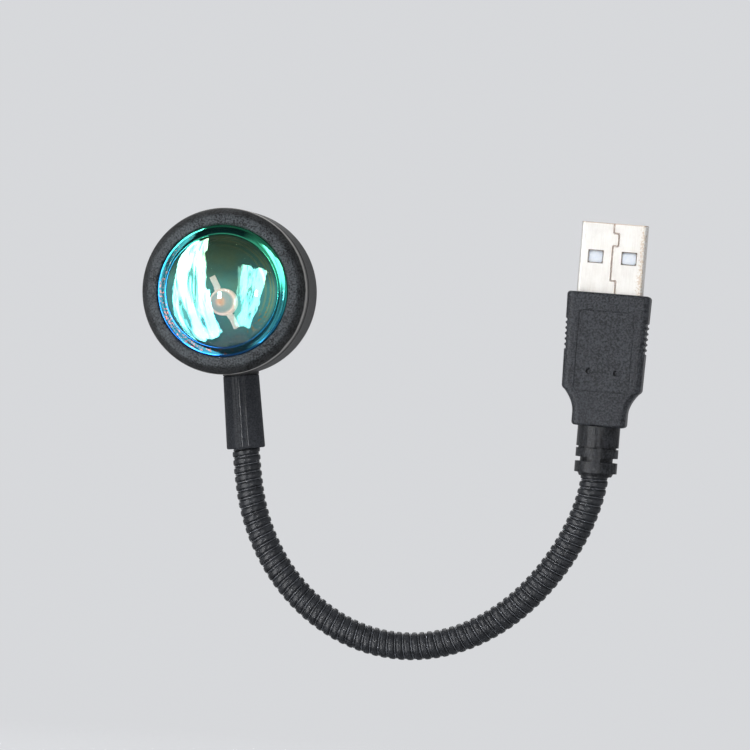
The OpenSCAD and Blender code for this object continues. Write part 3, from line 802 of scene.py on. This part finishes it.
shell_metal = plate.done(plate.surface(
    Base_Color=tone, Metallic=0.3, Roughness=(lines - 0.5) * 0.2 + 0.45,
    Normal=plate.bump(lines + specks * 0.3, 0.5, 0.004)))
dress(shell, shell_metal, "plug", "shell_metal", "usb_shell")

# %% [markdown]
# ## The strain relief
# Rings on a core, with a slot at each side so that it can bend. The rings are
# one traced outline, spun. The slots are a ring-shaped cutter that has a
# bridge taken out of it in front and behind.

# %% Strain relief
LOWEST = -33.45
relief = turned("relief", [
    (2.62, 0, -21.4), (3.25, 0, -21.4), (3.25, 0, -24.33), (3.9, 0, -24.33),
    (3.9, 0, -28.05), (3.5, 0, -28.05), (3.5, 0, -28.4), (3.9, 0, -28.4),
    (3.9, 0, -32.8), (3.3, 0, -32.8), (2.97, 0, LOWEST), (2.62, 0, LOWEST),
    (2.62, 0, -21.4)], (0, 0, 0), (0, 0, 1), 72)
stop_edit()
slots = turned("slots", [(3.0, 0, -30.85), (5, 0, -30.85), (5, 0, -30.0),
                         (3.0, 0, -30.0), (3.0, 0, -30.85)], (0, 0, 0), (0, 0, 1), 72)
stop_edit()
cut(slots, box_cutter("bridge", (-0.9, -6, -32), (0.9, 6, -29)))
cut(relief, slots)
modify(relief, "BEVEL", width=0.12, segments=3, limit_method="ANGLE",
       angle_limit=math.radians(40))
settle(relief, 35)
dress(relief, relief_black, "plug", "relief_black", "strain_relief")

# %% [markdown]
# ## The neck sleeve
# A smooth, slightly tapered tube that holds the hose's end and stands on the
# head. It leans with the hose, so it is drawn upright and then turned. Its
# mouth is rounded, and the hose goes up its bore.

# %% Neck sleeve
sleeve = turned("sleeve", [
    (2.66, 0, 7), (2.66, 0, 0.1), (2.9, 0, 0), (3.36, 0, 0), (3.56, 0, 0.2),
    (3.33, 0, 13.45), (3.18, 0, 13.6), (2.2, 0, 13.6), (2.2, 0, 7), (2.66, 0, 7)],
    (0, 0, 0), (0, 0, 1), 72)
modify(sleeve, "BEVEL", width=0.1, segments=3, limit_method="ANGLE",
       angle_limit=math.radians(30))
sleeve.matrix_world = (Matrix.Translation(NECK)
                       @ neck_way.to_track_quat("Z", "Y").to_matrix().to_4x4())
settle(sleeve, 35)
dress(sleeve, sleeve_black, "head", "sleeve_black", "neck_sleeve")

# %% [markdown]
# ## Finish of the head
# The bezel and the housing are one black, with a coarse grain. The bezel's
# flat ring is paler than the slope round it. On the side wall a dark band of
# painted shade lies round the groove between bezel and housing. The wall is
# paler at its front and darker towards the back. The edge between the slope and
# the side wall has a painted highlight: a thin pale line, broken in places and
# stronger on the right. All of it is told from the radius and the depth of a
# point, so it turns with the head.

# %% Head black
FACE = -11.8
head_look = Finish("bezel_black")
x, y, z = head_look.place((HEAD.x, FACE, HEAD.z))
around = (x * x + z * z) ** 0.5
coarse = head_look.noise(1 / 0.33, 2, 0.65)
cloud = head_look.noise(0.4, 4, 0.65)
grain = head_look.ramp(coarse * 0.7 + cloud * 0.3, [
    (0.4, (0.006, 0.0065, 0.007)), (0.6, (0.11, 0.115, 0.12))])
# The bezel's colour darkens outwards by radius, from its flat ring over the slope.
paler = head_look.ramp(around * 0.1 - 1.2, [
    (0.0, (0.85, 0.9, 0.95)), (0.17, (0.7, 0.74, 0.77)), (0.22, (0.36, 0.36, 0.37)),
    (0.29, (0.3, 0.3, 0.3))])
shaded = head_look.node("Mix", {"data_type": "RGBA", "blend_type": "MULTIPLY"},
                        {0: 1.0, 6: grain, 7: paler}, out=2)
# Painted shade: a dark band round the groove between bezel and housing. The wall is also
# paler at its front and darker towards the back.
wall = head_look.ramp(y * 0.1, [
    (0.0, (0.12, 0.118, 0.114)), (0.15, (0.085, 0.084, 0.082)), (0.18, (0.006, 0.006, 0.006)),
    (0.27, (0.006, 0.006, 0.006)), (0.3, (0.085, 0.084, 0.082)), (0.5, (0.06, 0.06, 0.06)),
    (0.75, (0.045, 0.045, 0.046)), (1.0, (0.045, 0.045, 0.046))])
wall = head_look.blend(coarse * 1.6 - 0.5, rgb(0.012, 0.012, 0.013), wall)
on_wall = head_look.ramp(y * 0.5 + 0.5, [(0.44, (0, 0, 0)), (0.5, (1, 1, 1))])
shaded = head_look.blend(on_wall, shaded, wall)
# Painted highlight: a thin pale line along the edge between slope and side wall, broken by
# noise and stronger towards the right.
edge = 1 - ((y + 0.15).size() / 0.6)
painted_edge_highlight = head_look.ramp(edge + (cloud - 0.5) * 0.9 + x * 0.03 - 0.3,
                      [(0.3, (0, 0, 0)), (0.6, (1, 1, 1))])
head_black = head_look.done(head_look.surface(
    Base_Color=head_look.blend(painted_edge_highlight * 0.8, shaded, rgb(0.34, 0.33, 0.32)),
    Specular_IOR_Level=0.16, Roughness=(coarse - 0.5) * 0.3 + 0.56,
    Normal=head_look.bump(coarse + cloud * 0.5, 0.8, 0.05)))

# %% [markdown]
# ## The head
# Bezel, housing and glass are all turned about the line through the head's
# middle. Their outlines are given as radius and depth behind the bezel's
# outer edge, and they are spun where they lie.

# %% Bezel and housing
def head_line(pairs):
    """Radius and depth to points beside the head's axis."""
    return [(HEAD.x + r, FACE + depth, HEAD.z) for r, depth in pairs]


AXIS = (HEAD.x, 0, HEAD.z)
bezel = turned("bezel_ring", head_line([
    (12.05, -1.2), (12.05, -2.1), (12.12, -2.35), (12.34, -2.5), (13.55, -2.36),
    (13.8, -2.25), (13.98, -2.05), (14.45, -1.5), (14.88, -0.9), (15.12, -0.42),
    (15.22, 0.05), (15.22, 1.8), (15.17, 1.93), (15.02, 2.0), (13.35, 2.0),
    (13.35, 1.0), (12.75, 1.0), (12.75, -1.2), (12.05, -1.2)]), AXIS, (0, 1, 0), 128)
settle(bezel, 35)
dress(bezel, head_black, "head", "bezel_black", "bezel")

back = [(9.5 + 5.72 * math.cos(a), 11.6 + 6.4 * math.sin(a))
        for a in [i * math.pi / 32 for i in range(17)]]
housing = turned("housing_cup", head_line(
    [(11.5, 1.02), (13.3, 1.02), (13.3, 2.5), (15.02, 2.5), (15.17, 2.56), (15.22, 2.7)]
    + back + [(0, 18), (0, 16.4), (8.8, 16.4), (8.8, 9.5), (10.15, 9.5),
              (10.15, 7.7), (11.5, 7.7), (11.5, 1.02)]), AXIS, (0, 1, 0), 128)
stop_edit()
boss = rod_cutter("boss", 3.35, HEAD - neck_way * 12, HEAD - neck_way * 15.31, 64)
cut(housing, boss, operation="UNION")
settle(housing, 35)
dress(housing, head_black, "head", "housing_black", "housing")

# %% [markdown]
# ## The glass
# A convex lens whose coat throws back green and blue and lets orange through.
# Its rim is a steeper band with a fine groove inside it, where a thin bright
# ring is painted. The coat is a mirror-like surface that is half see-through.
# In the middle its colour drifts from teal to green, greener towards the top.
# On the rim it carries painted reflections: a dark ring with brown-red glints,
# and hues that change round the rim, brightest in an arc at the upper right.
# Thin painted highlight arcs lie inside the dome on the right.

# %% Glass
dome = []
for i in range(0, 25):
    r = 10.05 * (1 - i / 24)
    dome.append((r, -5.33 + 22.6 - math.sqrt(22.6 ** 2 - r ** 2)))
glass = turned("lens_glass", head_line(
    [(0, 0.33), (12.65, 0.33), (12.65, -1.1), (12.02, -1.14), (12.0, -2.26),
     (11.94, -2.38), (11.78, -2.47), (11.4, -2.6), (10.9, -2.74), (10.5, -2.8),
     (10.36, -2.78), (10.25, -2.83)]
    + dome), AXIS, (0, 1, 0), 128)
pick("FACE", lambda m, c: m.y < FACE - 1.12)
front_faces = {f.index for f in bmesh.from_edit_mesh(glass.data).faces if f.select}
settle(glass, 50)

# %% The coat
coat = Finish("coated_glass")
x, y, z = coat.place((HEAD.x, FACE, HEAD.z))
around = (x * x + z * z) ** 0.5
slant = (x * 0.79 + z * 0.61) / around.at_least(0.5) * 0.5 + 0.5
drift = coat.noise(0.14, 3, 0.55)
flecks = coat.noise(2.4, 2, 0.6)
inner = coat.ramp(drift * 0.7 + z * 0.016 + 0.15, [
    (0.28, (0.13, 0.6, 0.7)), (0.5, (0.22, 0.8, 0.7)), (0.72, (0.42, 0.74, 0.38))])
height = (x * 0.4 + z * 0.9) / around.at_least(0.5) * 0.5 + 0.5
# Painted reflection: the rim's hue and brightness change round it, dark blue to one side and
# bright green at the top.
outer = coat.ramp(height, [
    (0.05, (0.012, 0.12, 0.42)), (0.3, (0.015, 0.17, 0.36)), (0.5, (0.012, 0.15, 0.28)),
    (0.8, (0.05, 0.45, 0.3)), (0.95, (0.1, 0.75, 0.42))])
# Painted reflection: where this is low the rim takes the dark ring's colour, which draws a
# dark ring with a thin line of the rim's hue inside it.
painted_rim_rings = coat.ramp(around * 0.1 - 0.95, [
    (0.0, (0, 0, 0)), (0.06, (0, 0, 0)), (0.075, (0.8, 0.8, 0.8)), (0.09, (0.8, 0.8, 0.8)),
    (0.105, (0.04, 0.04, 0.04)), (0.2, (0.04, 0.04, 0.04)), (0.222, (1, 1, 1)),
    (0.3, (1, 1, 1))])
on_rim = coat.ramp(around * 0.1 - 0.95, [(0.05, (0, 0, 0)), (0.07, (1, 1, 1))])
# Painted highlight: a bright arc at the upper right of the rim, where the dark ring is left
# out.
painted_arc_highlight = coat.ramp(slant, [(0.9, (0, 0, 0)), (0.96, (0.8, 0.8, 0.8))])
# Painted dark reflection: the dark ring's colour, dark teal with painted brown-red glints.
warm = coat.ramp(flecks - slant * 0.25, [(0.53, (0.006, 0.035, 0.04)),
                                         (0.6, (0.14, 0.05, 0.03))])
ring = coat.blend(painted_rim_rings.at_least(painted_arc_highlight), warm, outer)
gold = coat.ramp(flecks + x * 0.03 - z * 0.03 - (around - 8.9).size() * 0.12,
                 [(0.9, (0, 0, 0)), (0.96, (1, 1, 1))])
waves = coat.node("TexNoise", None, {"Vector": coat.coordinates, "Scale": 90.0})
# Painted highlights: thin pale green arcs inside the dome, on the right side only.
arcs = coat.ramp(around * 0.1 + waves * 0.02 - 0.8, [
    (0.0, (0, 0, 0)), (0.04, (0.5, 0.5, 0.5)), (0.06, (0, 0, 0)), (0.1, (0, 0, 0)),
    (0.125, (0.8, 0.8, 0.8)), (0.145, (0, 0, 0)), (0.17, (0.6, 0.6, 0.6)), (0.2, (0, 0, 0))])
beside = coat.ramp(slant, [(0.6, (0, 0, 0)), (0.8, (1, 1, 1))])
inner = coat.blend(arcs * beside, inner, rgb(0.75, 1.0, 0.42))
colour = coat.blend(on_rim, coat.blend(gold, inner, rgb(0.75, 0.6, 0.2)), ring)
coated = coat.done(coat.surface(
    Base_Color=colour, Metallic=1.0, Roughness=(drift - 0.5) * 0.02 + 0.03,
    Alpha=on_rim * 0.45 + 0.43))
clear = Finish("clear_glass")
haze = clear.noise(0.3, 2)
clear_glass = clear.done(clear.surface(
    Base_Color=clear.ramp(haze, [(0.3, (0.5, 0.75, 0.7)), (0.7, (0.6, 0.8, 0.78))]),
    Roughness=0.05, Alpha=0.06))
glass.data.materials.append(coated)
glass.data.materials.append(clear_glass)
for face in glass.data.polygons:
    face.material_index = 0 if face.index in front_faces else 1
dress(glass, None, "head", "coated_glass", "lens")

# %% [markdown]
# ## The light behind the glass
# Seen through the coat, only the clear dome with its warm chip and the two
# bright leads stand out, and the board is dark. The chip's finish, which the
# light's body shares, and the leads' finish glow with painted light, though the
# light is not switched on. These pieces keep their imported shapes and get
# their finishes.

# %% Finishes of small parts
def plain(name, first, second, rough, metal=0.0, per_mm=1.5, deep=0.004, alpha=1.0,
          glow=0.0, shine=0.5):
    look = Finish(name)
    cloud = look.noise(per_mm, 3)
    tone = look.ramp(cloud, [(0.35, first), (0.65, second)])
    return look.done(look.surface(
        Base_Color=tone, Metallic=metal, Roughness=(cloud - 0.5) * 0.15 + rough,
        Alpha=alpha, Specular_IOR_Level=shine, Emission_Strength=glow,
        Emission_Color=rgb(*second),
        Normal=look.bump(cloud, 0.5, deep)))


low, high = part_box("led_dome")
chip_look = Finish("led_plastic")
x, y, z = chip_look.place((low + high) / 2 / MM)
around = (x * x + z * z) ** 0.5
haze = chip_look.noise(0.9, 3, 0.6)
tone = chip_look.ramp(around * 0.3 + (haze - 0.5) * 0.12, [
    (0.0, (1.0, 0.3, 0.08)), (0.2, (0.85, 0.36, 0.16)), (0.32, (0.5, 0.38, 0.33)),
    (0.54, (0.46, 0.4, 0.37)), (0.62, (0.95, 0.66, 0.56)), (0.8, (0.9, 0.6, 0.5))])
# Painted glow: the chip's finish glows with its own colour.
chip = chip_look.done(chip_look.surface(
    Base_Color=tone, Roughness=(haze - 0.5) * 0.1 + 0.18, Emission_Strength=0.8,
    Emission_Color=tone, Normal=chip_look.bump(haze, 0.4, 0.01)))
finishes = {
    "usb_tongue": plain("tongue_plastic", (0.8, 0.86, 0.95), (0.88, 0.92, 0.97), 0.3),
    "contact": plain("contact_gold", (0.8, 0.62, 0.26), (0.9, 0.72, 0.36), 0.28, 1.0),
    "plug_core": plain("core_plastic", (0.78, 0.78, 0.75), (0.84, 0.84, 0.82), 0.4),
    "lens_gasket": plain("gasket_rubber", (0.014, 0.014, 0.015), (0.024, 0.024, 0.025), 0.6),
    "star_board": plain("board_mask", (0.008, 0.03, 0.026), (0.014, 0.05, 0.042), 0.6,
                        shine=0.05),
    "led_body": chip,
    "led_dome": chip,
    # Painted glow: the leads glow with their pale colour.
    "lead_": plain("lead_metal", (0.85, 0.62, 0.5), (0.95, 0.8, 0.72), 0.35, glow=0.7),
    "wire_red": plain("wire_red", (0.5, 0.02, 0.015), (0.6, 0.04, 0.03), 0.35),
    "wire_black": plain("wire_black", (0.012, 0.012, 0.012), (0.022, 0.022, 0.022), 0.35),
}
for name, node in nodes.items():
    for start, material in finishes.items():
        if name.startswith(start):
            node.data.materials.clear()
            node.data.materials.append(material)
print("finishes:", len(bpy.data.materials))
